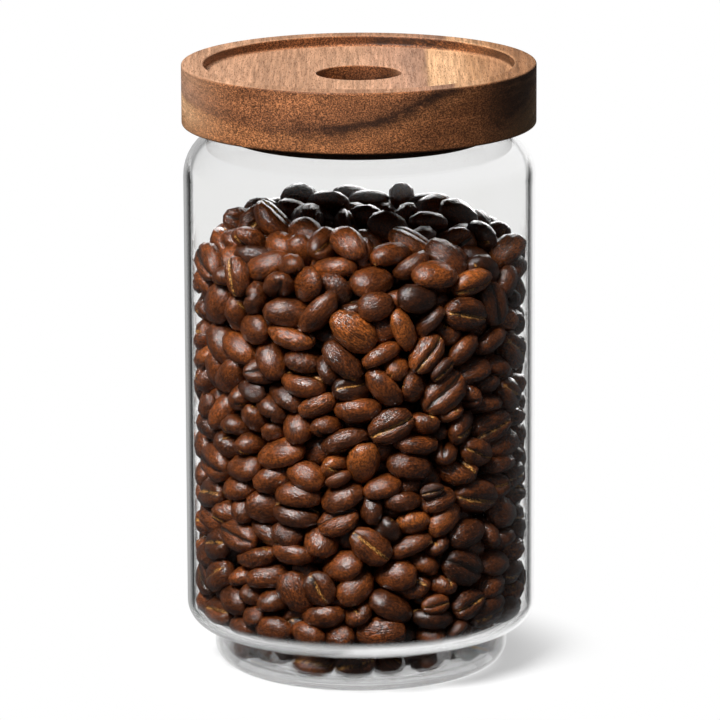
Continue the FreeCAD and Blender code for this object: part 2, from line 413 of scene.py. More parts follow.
lathe_inputs = (("Steps round", "Int"), ("Guide radius", "Float"), ("Finish", "Material"))
lathe, given = new_tree("lathe", "Outline", lathe_inputs, "Turned")
circle = {"Resolution": given["Steps round"], "Radius": given["Guide radius"]}
guide = add(lathe, "GeometryNodeCurvePrimitiveCircle", circle)
upright = add(lathe, "GeometryNodeSetCurveNormal", {"Curve": guide.outputs[0]}, mode="Z_UP")
curves = {"Curve": upright.outputs[0], "Profile Curve": given["Outline"]}
sweep = add(lathe, "GeometryNodeCurveToMesh", curves)
weld = {"Geometry": sweep.outputs[0], "Distance": WELD}
welded = add(lathe, "GeometryNodeMergeByDistance", weld)
smooth = add(lathe, "GeometryNodeSetShadeSmooth", {"Geometry": welded.outputs[0]})
end_tree(lathe, smooth.outputs[0], given["Finish"])
print("lathe nodes", len(lathe.nodes))

# %% Work with the lathe
def set_modifier(worker, tree, values):
    """Puts a tree on an object and sets its named inputs by their identifiers."""
    modifier = worker.modifiers.new(tree.name, "NODES")
    modifier.node_group = tree
    for item in tree.interface.items_tree:
        if item.in_out == "INPUT" and item.name in values:
            modifier[item.identifier] = values[item.name]


def plain_mesh(name, worker):
    """Turns what a modifier makes of an object into a plain mesh, and clears the object away."""
    shown = worker.evaluated_get(bpy.context.evaluated_depsgraph_get())
    mesh = bpy.data.meshes.new_from_object(shown)
    data = worker.data
    bpy.data.objects.remove(worker)
    (bpy.data.curves if isinstance(data, bpy.types.Curve) else bpy.data.meshes).remove(data)
    for attribute in [a.name for a in mesh.attributes if a.name == "sharp_edge"]:
        mesh.attributes.remove(mesh.attributes[attribute])
    mesh.name = name
    piece = bpy.data.objects.new(name, mesh)
    scene.collection.objects.link(piece)
    return piece


def turned(name, outline, finish, closed=False):
    """A piece turned from an outline of (radius, height) in mm."""
    curve = bpy.data.curves.new(name, "CURVE")
    curve.dimensions = "3D"
    spline = curve.splines.new("POLY")
    spline.points.add(len(outline) - 1)
    for point, (radius, height) in zip(spline.points, outline):
        point.co = (radius * MM - GUIDE_RADIUS, -height * MM, 0.0, 1.0)
    spline.use_cyclic_u = closed
    worker = bpy.data.objects.new(name, curve)
    scene.collection.objects.link(worker)
    set_modifier(worker, lathe, {
        "Steps round": STEPS_ROUND,
        "Guide radius": GUIDE_RADIUS,
        "Finish": finish,
    })
    return plain_mesh(name, worker)


def volume_of(piece):
    """The volume inside a mesh in cm3, positive where faces point outwards, and its loose edges."""
    tool = bmesh.new()
    tool.from_mesh(piece.data)
    volume = tool.calc_volume(signed=True) * 1e6
    loose = sum(1 for edge in tool.edges if len(edge.link_faces) != 2)
    tool.free()
    return round(volume, 2), loose


# %% [markdown]
# ## Clear glass
# One Glass shader would do for a plain pane. Here its parts are set apart, as a photographer does
# with screens, so that the beans behind stay clear. The straight wall mostly just bends light. Its
# slanting edges mirror the studio, which draws the grey and white lines that show the shape. The
# shoulder is ordinary glass, with faint reflections. In the foot the light is bent and mirrored
# many times, so its step mirrors, and part of the light goes straight through. Soft light and
# shadows pass through the whole jar, which saves a great many rays.

# %% Glass
GLASS_IOR = 1.47
WALL_TINTS = ((0.945, 0.945, 0.94, 1.0), (0.955, 0.955, 0.955, 1.0))
FOOT_TINT = (0.90, 0.90, 0.90, 1.0)
CLEAR_TINT = (0.97, 0.97, 0.97, 1.0)
WALL_SHEEN = 0.04
FOOT_SHEEN = 1.0
WALL_FROM = (15.0, 22.0)
WALL_TO = (154.5, 153.0)

glass, tree = new_finish("clear_glass")
draw_lines = noise(tree, place_in_mm(tree, (0.05, 0.05, 0.02)), detail=1.0)
ripple = relief_of(tree, draw_lines, 0.05, 0.4)
bend = add(tree, "ShaderNodeBsdfRefraction", {
    "Color": blend(tree, draw_lines, *WALL_TINTS),
    "Roughness": 0.0,
    "IOR": GLASS_IOR,
    "Normal": ripple,
}).outputs[0]
thick = add(tree, "ShaderNodeBsdfPrincipled", {
    "Base Color": FOOT_TINT,
    "Roughness": 0.0,
    "IOR": GLASS_IOR,
    "Specular Tint": (0.0, 0.0, 0.0, 1.0),
    "Transmission Weight": 1.0,
    "Normal": ripple,
}).outputs[0]
plain = {"Color": CLEAR_TINT, "Roughness": 0.0, "IOR": GLASS_IOR}
shoulder_glass = add(tree, "ShaderNodeBsdfGlass", plain).outputs[0]
mirror = add(tree, "ShaderNodeBsdfAnisotropic", {"Color": WHITE, "Roughness": 0.0}).outputs[0]
clear = add(tree, "ShaderNodeBsdfTransparent", {"Color": CLEAR_TINT}).outputs[0]
height = parts_of(tree, place_in_mm(tree))["Z"]
wall = product(tree, smooth_step(tree, height, *WALL_FROM), smooth_step(tree, height, *WALL_TO))
sheen = sum_of(tree, "MULTIPLY_ADD", wall, WALL_SHEEN - FOOT_SHEEN, FOOT_SHEEN)
pane = mixed(tree, sheen, bend, thick)

# %% Shoulder, edges and foot
SHOULDER_FROM = (143.0, 148.0)
SHOULDER_TO = (153.0, 151.5)
EDGE_SHINE = 0.85
EDGE_SLANT = (0.73, 0.87)
FAINT_SHINE = 0.06
FAINT_SLANT = (0.68, 0.73)
HEEL_SHINE = 0.55
HEEL_FACING = (-0.10, -0.65)
HEEL_FROM = (10.5, 11.4)
HEEL_TO = (26.0, 22.0)
FOOT_STRAIGHT = 0.58
FOOT_BELOW = (15.0, 11.0)

shoulder = smooth_step(tree, height, *SHOULDER_FROM)
shoulder = product(tree, shoulder, smooth_step(tree, height, *SHOULDER_TO))
pane = mixed(tree, shoulder, pane, shoulder_glass)
slant = add(tree, "ShaderNodeLayerWeight", {"Blend": 0.5}).outputs["Facing"]
edge = product(tree, smooth_step(tree, slant, *EDGE_SLANT), EDGE_SHINE)
faint = product(tree, smooth_step(tree, slant, *FAINT_SLANT), FAINT_SHINE)
pane = mixed(tree, sum_of(tree, "ADD", edge, faint), pane, mirror)
facing = parts_of(tree, add(tree, "ShaderNodeTexCoord").outputs["Normal"])["Z"]
heel = product(
    tree,
    smooth_step(tree, facing, *HEEL_FACING),
    smooth_step(tree, height, *HEEL_FROM),
    smooth_step(tree, height, *HEEL_TO),
    HEEL_SHINE,
)
pane = mixed(tree, heel, pane, mirror)
straight = product(tree, smooth_step(tree, height, *FOOT_BELOW), FOOT_STRAIGHT)
pane = mixed(tree, straight, pane, clear)
path = add(tree, "ShaderNodeLightPath").outputs
layers = mixed(tree, path["Is Glossy Ray"], pane, clear)
layers = mixed(tree, path["Is Singular Ray"], layers, pane)
for ray in ("Is Diffuse Ray", "Is Shadow Ray"):
    layers = mixed(tree, path[ray], layers, clear)
add(tree, "ShaderNodeOutputMaterial", {"Surface": layers})
print("glass nodes", len(tree.nodes))

# %% [markdown]
# ## Jar
# The jar is blown from clear tube glass with a 2 mm wall: a shallow push-up underneath, a foot
# that steps in so that it drops into the lid of another jar, a straight side, a round shoulder
# and a short ground neck. It could be a shell with Solidify, but the rounds inside and outside
# differ, so both faces are in the outline, from the floor inside up over the rim and down again.

# %% Jar
WALL = 2.0
JAR_RADIUS = 50.0
FOOT_RADIUS = 42.0
FOOT_TOP = 11.5
INNER_FLOOR = 3.0
SHOULDER = (36.5, 142.0)
SHOULDER_LOW = 140.0
SHOULDER_ROUND = 13.5
MOUTH_RADIUS = 37.3
NECK_RADIUS = 39.3
RIM_TOP = 156.85
RIM_ROUND = 0.7
STAND_RADIUS = 33.0
PUSH_UP_RADIUS = 32.0
PUSH_UP_RISE = 0.9

neck_turn = math.degrees(math.acos((NECK_RADIUS - SHOULDER[0]) / SHOULDER_ROUND))
mouth_turn = math.degrees(math.acos((MOUTH_RADIUS - SHOULDER[0]) / (SHOULDER_ROUND - WALL)))
inside = rounded([
    (0.0, INNER_FLOOR, 0.0),
    (FOOT_RADIUS - WALL, INNER_FLOOR, 3.5),
    (FOOT_RADIUS - WALL, FOOT_TOP + WALL, 3.2),
    (JAR_RADIUS - WALL, FOOT_TOP + WALL, 4.5),
    (JAR_RADIUS - WALL, SHOULDER_LOW, 0.0),
])
inside += arc(SHOULDER, SHOULDER_ROUND - WALL, 0.0, mouth_turn)
rim = rounded([
    (MOUTH_RADIUS, 153.8, 0.0),
    (MOUTH_RADIUS, RIM_TOP, RIM_ROUND),
    (NECK_RADIUS, RIM_TOP, RIM_ROUND),
    (NECK_RADIUS, 155.4, 0.0),
])
outside = arc(SHOULDER, SHOULDER_ROUND, neck_turn, 0.0)
outside += rounded([
    (JAR_RADIUS, SHOULDER_LOW, 0.0),
    (JAR_RADIUS, FOOT_TOP, 6.5),
    (FOOT_RADIUS, FOOT_TOP, 1.2),
    (FOOT_RADIUS, 0.0, 5.5),
    (STAND_RADIUS, 0.0, 0.0),
])
under_round = (PUSH_UP_RADIUS**2 + PUSH_UP_RISE**2) / (2 * PUSH_UP_RISE)
for radius in (PUSH_UP_RADIUS, 31.4, 26.0, 20.0, 13.0, 6.0, 0.0):
    rise = PUSH_UP_RISE - under_round + math.sqrt(under_round**2 - radius**2)
    outside.append((radius, rise))
jar = turned("jar", inside + rim + outside, glass)
print("jar faces", len(jar.data.polygons), "volume and loose edges", volume_of(jar))

# %% [markdown]
# ## Wood
# The lid is turned from one board of a figured hardwood. Its fibres run away from the viewer, and
# the growth rings are shallow bowls round a heart that lay above the board, so the front shows
# end grain with a dark streak that climbs to the right, and the top shows long grain with short
# dark pores. A picture of wood would not join at the edges, so the finish is a solid one: colour
# comes from the distance to the heart, bent by slow noise, and pores are noise drawn out along
# the fibres. End grain drinks more oil than long grain, so faces that cut the fibres are darker
# and finely speckled.

# %% Growth layers and pores
HEART = (-22.0, 0.0, 258.0)
STREAK_DEPTH = 95.6
SLOW_BEND = 5.0
FAST_BEND = 2.2
YEARS_PER_MM = 0.9
LAYER_LOW = -26.0
LAYER_HIGH = 28.0
LAYERS = [
    # depth in mm from the dark streak, towards the heart where negative
    (-25.0, (0.52, 0.29, 0.16)),
    (-19.0, (0.46, 0.25, 0.14)),
    (-15.0, (0.62, 0.345, 0.20)),
    (-11.5, (0.66, 0.37, 0.22)),
    (-9.0, (0.54, 0.295, 0.175)),
    (-6.0, (0.68, 0.38, 0.23)),
    (-3.6, (0.62, 0.34, 0.215)),
    (-1.2, (0.50, 0.285, 0.19)),
    (0.0, (0.46, 0.255, 0.165)),
    (0.8, (0.78, 0.45, 0.24)),
    (3.5, (0.90, 0.53, 0.29)),
    (6.5, (0.62, 0.33, 0.165)),
    (10.0, (0.46, 0.235, 0.12)),
    (18.0, (0.50, 0.27, 0.14)),
    (26.0, (0.44, 0.25, 0.11)),
]
PORE_COLOUR = (0.14, 0.06, 0.03, 1.0)
PORE_SHARE = 0.55

wood, tree = new_finish("oiled_hardwood")
from_heart = add(tree, "ShaderNodeMapping", {
    "Vector": add(tree, "ShaderNodeTexCoord").outputs["Object"],
    "Location": (-HEART[0], 0.0, -HEART[2]),
    "Scale": (1.0 / MM, 0.0, 1.0 / MM),
}).outputs[0]
slow = noise(tree, place_in_mm(tree, (0.040, 0.010, 0.040)), detail=2.0)
fast = noise(tree, place_in_mm(tree, (0.35, 0.015, 0.35)), detail=3.0, rough=0.6)
slow = sum_of(tree, "MULTIPLY_ADD", slow, SLOW_BEND, -SLOW_BEND / 2 - STREAK_DEPTH)
fast = sum_of(tree, "MULTIPLY_ADD", fast, FAST_BEND, -FAST_BEND / 2)
depth = sum_of(tree, "ADD", length_of(tree, from_heart), slow)
depth = sum_of(tree, "ADD", depth, fast)
span = LAYER_HIGH - LAYER_LOW
share = sum_of(tree, "MULTIPLY_ADD", depth, 1.0 / span, -LAYER_LOW / span)
colour = ramp(tree, share, [((mm - LAYER_LOW) / span, tone) for mm, tone in LAYERS])
year = add(tree, "ShaderNodeCombineXYZ", {0: product(tree, depth, YEARS_PER_MM)}).outputs[0]
years = noise(tree, year, detail=3.0, rough=0.7)
colour = mottled(tree, colour, years, (0.35, 0.78), (0.65, 1.22))
fibre = noise(tree, place_in_mm(tree, (1.1, 0.035, 1.1)), detail=3.0, rough=0.65)
colour = mottled(tree, colour, fibre, (0.25, 0.52), (0.75, 1.42))
fleck = noise(tree, place_in_mm(tree, (4.2, 0.35, 4.2)), detail=1.0)
pore = smooth_step(tree, fleck, 0.54, 0.68)
colour = blend(tree, product(tree, pore, PORE_SHARE), colour, PORE_COLOUR)
print("wood layers", len(LAYERS), "within", span, "mm")

# %% End grain
END_COLOUR = (0.62, 0.34, 0.19, 1.0)
END_SHARE = 0.6
OIL_TINT = (0.43, 0.30, 0.22, 1.0)

facing = parts_of(tree, add(tree, "ShaderNodeTexCoord").outputs["Normal"])
cut = smooth_step(tree, sum_of(tree, "ABSOLUTE", facing["Y"]), 0.10, 0.80)
speck = noise(tree, place_in_mm(tree, (2.3, 0.5, 2.7)), detail=3.0, rough=0.8)
speck = ramp(tree, speck, [(0.39, (0.32,) * 3), (0.50, (0.80,) * 3), (0.59, (2.3, 2.3, 2.15))])
cloud = noise(tree, place_in_mm(tree, (0.055, 0.01, 0.11)), detail=4.0, rough=0.6)
cloud = ramp(tree, cloud, [(0.40, (1.20,) * 3), (0.60, (0.70, 0.68, 0.68))])
oiled = blend(tree, 1.0, blend(tree, 1.0, speck, cloud, "MULTIPLY"), OIL_TINT, "MULTIPLY")
colour = blend(tree, product(tree, cut, END_SHARE), colour, END_COLOUR)
colour = blend(tree, cut, colour, oiled, "MULTIPLY")

# %% [markdown]
# The dark figure is laid over the grain, with painted shade beside it. The streak follows the
# growth layers across the front and shows again where the same layers cross the wall of the sunk
# top. A darker patch on the right is partly darker wood and partly painted shade on the side away
# from the key lamp. The walls inside the rim are darker, partly painted shade and partly more oil,
# and the top of the rim has painted shade that darkens it towards the right. The underside and the
# plug are painted nearly black, as painted shade under the lid.

# %% Dark figure and painted shade
STREAK_COLOUR = (0.020, 0.010, 0.007, 1.0)
STREAK_FADE = ((0.08, 0.0), (0.34, 0.45), (0.45, 0.9), (0.57, 0.85), (0.74, 0.30), (0.94, 0.0))
DARK_WOOD_AND_SHADE_TINT = (0.36, 0.34, 0.36, 1.0)
HOLLOW_SHADE_TINT = (0.52, 0.48, 0.43, 1.0)
CROSSING_COLOUR = (0.035, 0.017, 0.010, 1.0)
RIM_SHADE_TINT = (0.76, 0.72, 0.70, 1.0)
UNDER_LID_SHADE_COLOUR = (0.030, 0.019, 0.011, 1.0)

smear = noise(tree, place_in_mm(tree, (0.12, 0.02, 0.30)), detail=4.0, rough=0.65)
places = parts_of(tree, place_in_mm(tree))
from_axis = length_of(tree, place_in_mm(tree, FLAT))
side = smooth_step(tree, sum_of(tree, "ABSOLUTE", facing["Z"]), 0.7, 0.3)
streak = product(
    tree,
    grey_ramp(tree, sum_of(tree, "MULTIPLY_ADD", depth, 0.1, 0.5), *STREAK_FADE),
    smooth_step(tree, smear, 0.28, 0.55),
    smooth_step(tree, places["X"], -34.0, -2.0),
    cut,
)
colour = blend(tree, streak, colour, STREAK_COLOUR)
# Darker wood on the right of the lid, plus painted shade on the side away from the key lamp.
dark_wood_and_shade = product(
    tree,
    smooth_step(tree, places["X"], 32.0, 42.0),
    side,
    smooth_step(tree, depth, 24.0, 18.0),
    smooth_step(tree, smear, 0.75, 0.45),
)
colour = blend(tree, dark_wood_and_shade, colour, DARK_WOOD_AND_SHADE_TINT, "MULTIPLY")
# Painted shade on the walls inside the rim, with some darkening from oil as well.
shaded_hollow = product(tree, smooth_step(tree, from_axis, 46.0, 45.0), side)
colour = blend(tree, shaded_hollow, colour, HOLLOW_SHADE_TINT, "MULTIPLY")
crossing = product(
    tree,
    smooth_step(tree, places["X"], 1.0, 7.0),
    smooth_step(tree, places["X"], 27.0, 23.0),
    smooth_step(tree, places["Y"], 20.0, 25.0),
    shaded_hollow,
    smooth_step(tree, smear, 0.30, 0.60),
)
colour = blend(tree, crossing, colour, CROSSING_COLOUR)
# Painted shade: the top of the rim is darker except on the left, where the key lamp falls.
rim_shade = product(
    tree,
    smooth_step(tree, from_axis, 44.2, 45.2),
    smooth_step(tree, side, 0.6, 0.2),
    smooth_step(tree, places["X"], -46.0, -20.0),
)
colour = blend(tree, rim_shade, colour, RIM_SHADE_TINT, "MULTIPLY")
# Painted shade: the underside and the plug are painted nearly black.
under_lid_shade = smooth_step(tree, places["Z"], RIM_TOP - 0.1, RIM_TOP - 0.4)
colour = blend(tree, under_lid_shade, colour, UNDER_LID_SHADE_COLOUR)

# %% Oiled surface
rough = sum_of(tree, "MULTIPLY_ADD", fibre, 0.22, 0.36)
rough = sum_of(tree, "ADD", rough, product(tree, pore, 0.25))
dents = sum_of(tree, "SUBTRACT", product(tree, fibre, 0.35), pore)
principled(tree, {
    "Base Color": colour,
    "Roughness": rough,
    "Specular IOR Level": 0.2,
    "Normal": relief_of(tree, dents, 0.5, 0.12),
})
print("wood nodes", len(tree.nodes))

# %% [markdown]
# ## Lid
# From the finger hole in its middle the lid runs out over the sunk top, which takes the foot of
# another jar, to the raised rim, and underneath back to the plug with a groove for the seal. It is
# one outline on the lathe, with the small rounds that sandpaper leaves on every edge.

# %% Lid
LID_RADIUS = 50.3
LID_TOP = 174.15
RECESS_RADIUS = 44.0
RECESS_FLOOR = 171.05
HOLE_RADIUS = 12.0
HOLE_FLOOR = 160.05
PLUG_RADIUS = 36.5
PLUG_FLOOR = 152.6
GROOVE_RADIUS = 34.5
GROOVE_LOW = 153.8
GROOVE_HIGH = 156.1
SANDED = 0.6
CRISP = 0.15
CUT = 0.1

lid_outline = rounded([
    (0.0, HOLE_FLOOR, 0.0),
    (HOLE_RADIUS, HOLE_FLOOR, SANDED),
    (HOLE_RADIUS, RECESS_FLOOR, 0.5),
    (RECESS_RADIUS, RECESS_FLOOR, 1.2),
    (RECESS_RADIUS, LID_TOP, SANDED),
    (LID_RADIUS, LID_TOP, SANDED),
    (LID_RADIUS, RIM_TOP, SANDED),
    (PLUG_RADIUS, RIM_TOP, CRISP),
    (PLUG_RADIUS, GROOVE_HIGH, CRISP),
    (GROOVE_RADIUS, GROOVE_HIGH, CUT),
    (GROOVE_RADIUS, GROOVE_LOW, CUT),
    (PLUG_RADIUS, GROOVE_LOW, CRISP),
    (PLUG_RADIUS, PLUG_FLOOR, SANDED),
    (0.0, PLUG_FLOOR, 0.0),
])
lid = turned("lid", lid_outline, wood)
print("lid faces", len(lid.data.polygons), "volume and loose edges", volume_of(lid))

# %% [markdown]
# ## Seal
# A dark silicone ring sits in a groove of the plug. Its two ribs wipe the mouth of the jar and
# keep the air out. It is a closed outline, turned on the same lathe. The finish is nearly black
# with a dull, slightly dusty surface.

# %% Seal
SEAL_INSIDE = 34.55
SEAL_LOW = 153.85
SEAL_HIGH = 156.05
SEAL_WEB = 36.2
RIB_ROOT = 36.75
RIB_ROUND = 0.45

silicone, tree = new_finish("dark_silicone")
dust = noise(tree, place_in_mm(tree, (0.6, 0.6, 1.5)), detail=4.0, rough=0.6)
principled(tree, {
    "Base Color": ramp(tree, dust, [(0.35, (0.012, 0.010, 0.009)), (0.75, (0.030, 0.027, 0.025))]),
    "Roughness": sum_of(tree, "MULTIPLY_ADD", dust, 0.25, 0.45),
    "Normal": relief_of(tree, dust, 0.15, 0.05),
})
seal_outline = [(SEAL_INSIDE, SEAL_HIGH)]
seal_outline += arc((RIB_ROOT, SEAL_HIGH - RIB_ROUND), RIB_ROUND, 90.0, -90.0)
seal_outline += [(SEAL_WEB, SEAL_HIGH - 2 * RIB_ROUND), (SEAL_WEB, SEAL_LOW + 2 * RIB_ROUND)]
seal_outline += arc((RIB_ROOT, SEAL_LOW + RIB_ROUND), RIB_ROUND, 90.0, -90.0)
seal_outline += [(SEAL_INSIDE, SEAL_LOW)]
seal = turned("seal", seal_outline, silicone, closed=True)
print("seal faces", len(seal.data.polygons), "volume and loose edges", volume_of(seal))

# %% [markdown]
# ## One coffee bean
# A roasted bean is half of a stone: round on the back, nearly flat on the belly, with a crease
# that runs along the belly in a slight S between two lips. About fifteen hundred of them fill
# the jar, so each shape has only a few dozen faces: five rings of twelve points and two tips. A
# few shapes differ in fullness, taper and bend. The place of every point in its bean is kept as
# an attribute, so that the finish can follow the crease and the wrinkles.

# %% Rings of a bean
RINGS = (-0.88, -0.50, 0.0, 0.50, 0.88)
AROUND = 12
TIP_HEIGHT = 0.06
BEAN_KINDS = [
    # taper, bend, belly, crease sway
    (0.00, 0.00, 1.00, 0.10),
    (0.12, 0.03, 0.90, -0.08),
    (-0.10, -0.04, 1.12, 0.13),
    (0.06, 0.06, 1.05, 0.05),
]


def bean_ring(u, kind):
    """The points of one ring at a share u of the half length, as shares of width and thickness."""
    taper, bend, belly, sway = kind
    full = math.sqrt(1.0 - abs(u) ** 2.4)
    wide = full * (1.0 + taper * u)
    crease = sway * math.sin(math.pi * 0.9 * u) * wide
    low = -0.34 * belly * full**0.8
    lip = (0.11, low)
    flank = [(0.52, low * 1.02), (0.95, low * 0.38), (0.93, 0.24 * full), (0.58, 0.51 * full)]
    right = [(lip[0] * wide + crease, low)] + [(y * wide, z) for y, z in flank]
    left = [(-lip[0] * wide + crease, low)] + [(-y * wide, z) for y, z in flank]
    ring = [(crease, low + 0.17 * full)] + right + [(0.0, 0.61 * full)] + left[::-1]
    return [(y + bend * (1 - u * u), z) for y, z in ring]


# %% Bean shapes
BEAN = (0.69, 0.50, 0.68)


def bean_shape(name, kind):
    """One bean of the given kind, in cm, with the place of each point kept in bean_place."""
    points = [(-1.0, 0.0, TIP_HEIGHT)]
    for u in RINGS:
        points += [(u, y, z) for y, z in bean_ring(u, kind)]
    points.append((1.0, 0.0, TIP_HEIGHT))
    faces = []
    for k in range(AROUND):
        after = (k + 1) % AROUND
        faces.append((0, 1 + k, 1 + after))
        for ring in range(len(RINGS) - 1):
            low, high = 1 + ring * AROUND, 1 + (ring + 1) * AROUND
            faces.append((low + k, high + k, high + after, low + after))
        last = 1 + (len(RINGS) - 1) * AROUND
        faces.append((len(points) - 1, last + after, last + k))
    mesh = bpy.data.meshes.new(name)
    mesh.from_pydata([tuple(np.multiply(point, BEAN)) for point in points], [], faces)
    place = mesh.attributes.new("bean_place", "FLOAT_VECTOR", "POINT")
    place.data.foreach_set("vector", np.array(points, np.float32).ravel())
    mesh.polygons.foreach_set("use_smooth", [True] * len(faces))
    tool = bmesh.new()
    tool.from_mesh(mesh)
    bmesh.ops.recalc_face_normals(tool, faces=tool.faces)
    tool.to_mesh(mesh)
    tool.free()
    return mesh


bean_meshes = [bean_shape(f"bean_{k}", kind) for k, kind in enumerate(BEAN_KINDS)]
print("bean faces", [len(mesh.polygons) for mesh in bean_meshes])

# %% [markdown]
# ## Pouring the beans
# Beans scattered by hand always look placed: real ones lie on each other, and those at the wall
# turn a broad side to the glass. So they are poured. Rigid bodies fall into a stand-in of the
# jar, made of plates, in a world where one unit is a centimetre, because the solver dislikes
# very small bodies. They start in rings, with the outermost beans already facing the wall and one
# ring of them on the ledge over the foot. The resting places are read off, and the stand-ins are
# thrown away.

# %% Where the beans start
SEED = 11
BEAN_COUNT = 1570
TOP_COUNT = 275
WALL_RING = 3
START_HEIGHT = 1.3
RING_GAP = 1.40
LAYER_GAP = 1.36
BEAN_SPACE = 1.36
LEDGE_LIFT = 0.75
LEDGE_RADIUS = 4.33
LEDGE_SPACE = 1.50
LEAN_SPREAD = (0.25, 0.25, 0.8)
BROKEN_SHARE = 0.08
TURN = 2 * math.pi
draw = np.random.default_rng(SEED)


def start_turn(ring, angle):
    """How a bean is turned at the start: at the wall its back or its belly faces the glass."""
    if ring != WALL_RING:
        return Euler(draw.random(3) * TURN).to_quaternion()
    face = 1.0 if draw.random() < 0.5 else -1.0
    lean = Euler([draw.normal(0, spread) for spread in LEAN_SPREAD])
    out = Vector((math.cos(angle), math.sin(angle), 0.0)) * face
    return out.to_track_quat("Z", "Y") @ lean.to_quaternion()


def start_size():
    """The size of a bean along its three axes; a few are broken and small."""
    size = draw.normal(1.0, 0.06, 3) * draw.uniform(0.86, 1.08)
    if draw.random() < BROKEN_SHARE:
        size = size * draw.uniform(0.50, 0.75)
    return size


def start_places():
    """Start of each bean: place, rotation, kind and size, layer by layer from the floor up."""
    starts = []
    height = START_HEIGHT
    while len(starts) < BEAN_COUNT:
        rings = WALL_RING + 1 if len(starts) < BEAN_COUNT - TOP_COUNT else WALL_RING
        lowest = not starts
        for ring in range(rings):
            on_ledge = lowest and ring == WALL_RING
            across = LEDGE_RADIUS if on_ledge else ring * RING_GAP
            count = max(1, round(TURN * across / (LEDGE_SPACE if on_ledge else BEAN_SPACE)))
            phase = draw.random() * TURN
            for k in range(count):
                angle = phase + TURN * k / count
                radius = across + draw.uniform(-0.05, 0.05) * (not on_ledge)
                level = height + LEDGE_LIFT * on_ledge + draw.uniform(0, 0.1)
                place = (radius * math.cos(angle), radius * math.sin(angle), level)
                turn = start_turn(ring, angle)
                size = start_size()
                starts.append((place, turn, int(draw.integers(len(BEAN_KINDS))), size))
        height += LAYER_GAP + LEDGE_LIFT * lowest
    return starts[:BEAN_COUNT]


starts = start_places()
print("beans", len(starts), "from height", round(starts[-1][0][2], 1), "cm")

# %% Stand-ins for the jar and the beans
BED_FLOOR = 0.33
BED_FOOT = 3.96
BED_FOOT_TOP = 1.36
BED_WALL = 4.77
PLATES = 32
PLATE_THICK = 2.0
FLOOR_PLATE = (14.0, 14.0, PLATE_THICK)


def stand_in_plate(centre, size, angle):
    """A box that stands still, for the floor or for a stave of the wall."""
    tool = bmesh.new()
    bmesh.ops.create_cube(tool, size=1.0)
    bmesh.ops.scale(tool, vec=size, verts=tool.verts)
    mesh = bpy.data.meshes.new("plate")
    tool.to_mesh(mesh)
    tool.free()
    plate = bpy.data.objects.new("plate", mesh)
    plate.location = centre
    plate.rotation_euler = (0.0, 0.0, angle)
    scene.collection.objects.link(plate)
    return plate


def stand_in_wall(radius, low, high):
    """A ring of plates that touches a circle from outside."""
    wide = 2 * (radius + PLATE_THICK) * math.tan(math.pi / PLATES)
    middle = radius + PLATE_THICK / 2
    plates = []
    for k in range(PLATES):
        angle = TURN * k / PLATES
        centre = (middle * math.cos(angle), middle * math.sin(angle), (low + high) / 2)
        plates.append(stand_in_plate(centre, (PLATE_THICK, wide, high - low), angle))
    return plates


def hull_of(mesh):
    """A light convex stand-in for a bean: every second point, wrapped."""
    tool = bmesh.new()
    for index, vertex in enumerate(mesh.vertices):
        if index % 2 == 0:
            tool.verts.new(vertex.co)
    bmesh.ops.convex_hull(tool, input=tool.verts)
    hull = bpy.data.meshes.new("hull")
    tool.to_mesh(hull)
    tool.free()
    return hull


def make_rigid(things, kind, shape, friction):
    """Gives things a rigid body that doesn't bounce."""
    for thing in scene.objects:
        thing.select_set(False)
    for thing in things:
        thing.select_set(True)
    bpy.context.view_layer.objects.active = things[0]
    bpy.ops.rigidbody.objects_add(type=kind)
    for thing in things:
        thing.rigid_body.collision_shape = shape
        thing.rigid_body.friction = friction
        thing.rigid_body.restitution = 0.0


# %% Let them fall
POUR_FRAMES = 44
POUR_STEPS = 8
POUR_TRIES = 14
POUR_PULL = -98.1
PLAIN_PULL = -9.81
FALL_SWELL = 1.04
HEADROOM = 4.0
BEAN_MASS = 0.2


def pour(starts):
    """Lets the beans fall, and returns the place and rotation that each comes to rest in."""
    scene.gravity = (0.0, 0.0, POUR_PULL)
    bpy.ops.rigidbody.world_add()
    rules = scene.rigidbody_world
    rules.substeps_per_frame = POUR_STEPS
    rules.solver_iterations = POUR_TRIES
    rules.point_cache.frame_start = 1
    rules.point_cache.frame_end = POUR_FRAMES
    column = starts[-1][0][2] + HEADROOM
    plates = [stand_in_plate((0.0, 0.0, BED_FLOOR - PLATE_THICK / 2), FLOOR_PLATE, 0.0)]
    plates += stand_in_wall(BED_FOOT, -0.5, BED_FOOT_TOP) + stand_in_wall(BED_WALL, 0.0, column)
    hulls = [hull_of(mesh) for mesh in bean_meshes]
    falling = []
    for place, turn, kind, size in starts:
        bean = bpy.data.objects.new("falling", hulls[kind])
        bean.location = place
        bean.rotation_euler = turn.to_euler()
        bean.scale = size * FALL_SWELL
        scene.collection.objects.link(bean)
        falling.append(bean)
    bpy.context.view_layer.update()
    make_rigid(plates, "PASSIVE", "BOX", 0.3)
    make_rigid(falling, "ACTIVE", "CONVEX_HULL", 0.5)
    for bean in falling:
        bean.rigid_body.linear_damping = 0.1
        bean.rigid_body.angular_damping = 0.35
        bean.rigid_body.mass = BEAN_MASS
    for step in range(1, POUR_FRAMES + 1):
        scene.frame_set(step)
    shown = bpy.context.evaluated_depsgraph_get()
    rests = []
    for bean in falling:
        matrix = bean.evaluated_get(shown).matrix_world
        rests.append((matrix.translation.copy(), matrix.to_quaternion()))
    bpy.ops.rigidbody.world_remove()
    for thing in falling + plates:
        bpy.data.objects.remove(thing)
    scene.frame_set(1)
    scene.gravity = (0.0, 0.0, PLAIN_PULL)
    return rests


rests = pour(starts)
print("poured", len(rests), "beans")

